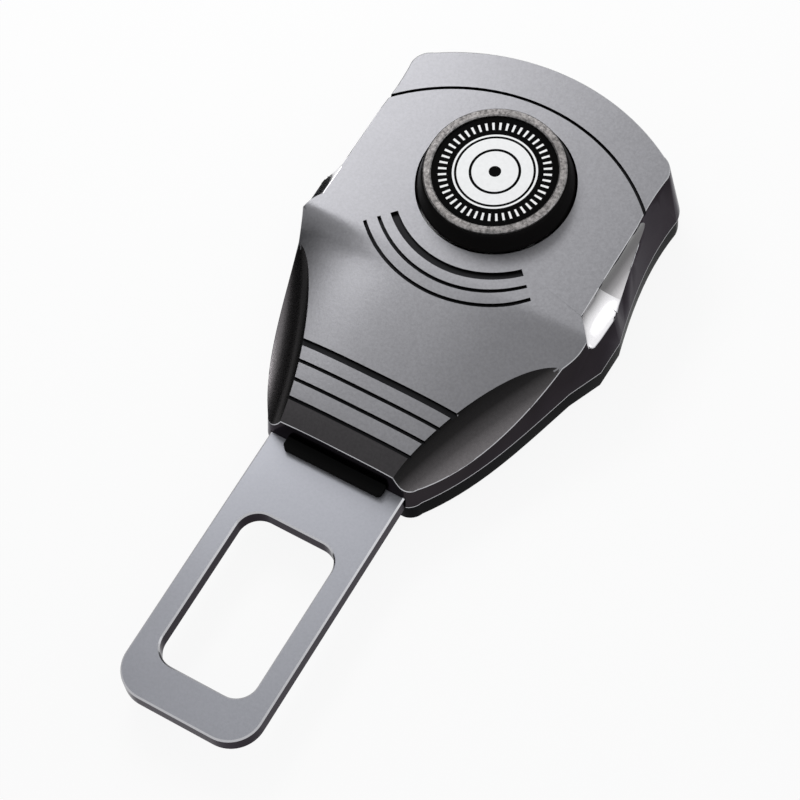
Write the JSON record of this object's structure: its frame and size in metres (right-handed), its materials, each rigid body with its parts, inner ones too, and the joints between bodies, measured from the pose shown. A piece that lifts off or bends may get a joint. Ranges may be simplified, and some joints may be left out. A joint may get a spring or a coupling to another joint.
{
  "type": "seat belt extender",
  "caption": "Seat belt extender: a tapered metal-look buckle with a round press button and belt slot, and a flat steel latch plate with a window.",
  "frame": {"origin": "middle of the length and width, on the flat back", "axes": "+X across, +Y along the length towards the belt slot, +Z out of the face with the button"},
  "size_m": [0.05, 0.1112, 0.0198],
  "materials": {
    "gunmetal_shell": "satin gunmetal plating on a die-cast shell",
    "black_gloss": "glossy moulded black",
    "screw_steel": "zinc-plated, darkened",
    "tongue_steel": "satin plated sheet with polished edges",
    "frame_steel": "plain pressed sheet",
    "black_plastic": "matt moulded black",
    "lever_steel": "hardened and plated",
    "spring_steel": "drawn wire",
    "ejector_plastic": "natural moulded acetal",
    "button_black": "dark satin to gloss moulding",
    "ring_metal": "bead-blasted ring with polished edges",
    "badge_black": "printed black with plain white marks",
    "tape_foam": "thin adhesive foam"
  },
  "bodies": {
    "housing": {"front_cover": "gunmetal_shell", "rear_cover": "black_gloss", "rear_screws": "screw_steel", "tongue_plate": "tongue_steel", "buckle_frame": "frame_steel", "frame_rivets": "frame_steel", "exit_collar": "black_plastic", "slot_guide": "black_plastic", "lever_pin": "lever_steel", "pin_clips": "screw_steel", "button_guide": "black_plastic", "ejector_spring": "spring_steel"},
    "button": {"button_body": "button_black", "button_ring": "ring_metal", "badge_disc": "badge_black", "badge_tape": "tape_foam", "button_springs": "spring_steel"},
    "lock": {"lock_lever": "lever_steel", "latch_spring": "spring_steel"},
    "ejector": {"ejector": "ejector_plastic"}
  },
  "joints": [
    {"name": "button_press", "type": "slide", "parent": "housing", "child": "button", "axis": [0, 0, -1], "range_m": [0, 0.0025], "stiffness_N_per_m": 900, "springref_m": -0.003, "deforming": ["button_springs"]},
    {"name": "lock_tilt", "type": "hinge", "parent": "housing", "child": "lock", "pos_m": [0, 0.02995, 0.01], "axis": [-1, 0, 0], "range_deg": [0, 19.7], "stiffness_Nm_per_rad": 0.04, "springref_deg": -11.46, "deforming": ["latch_spring"]},
    {"name": "ejector_slide", "type": "slide", "parent": "housing", "child": "ejector", "axis": [0, -1, 0], "range_m": [0, 0.01], "stiffness_N_per_m": 250, "springref_m": -0.004, "deforming": ["ejector_spring"]}
  ],
  "couplings": [
    {"joint": "lock_tilt", "follows": "button_press", "rad_per_m": 136.8}
  ]
}
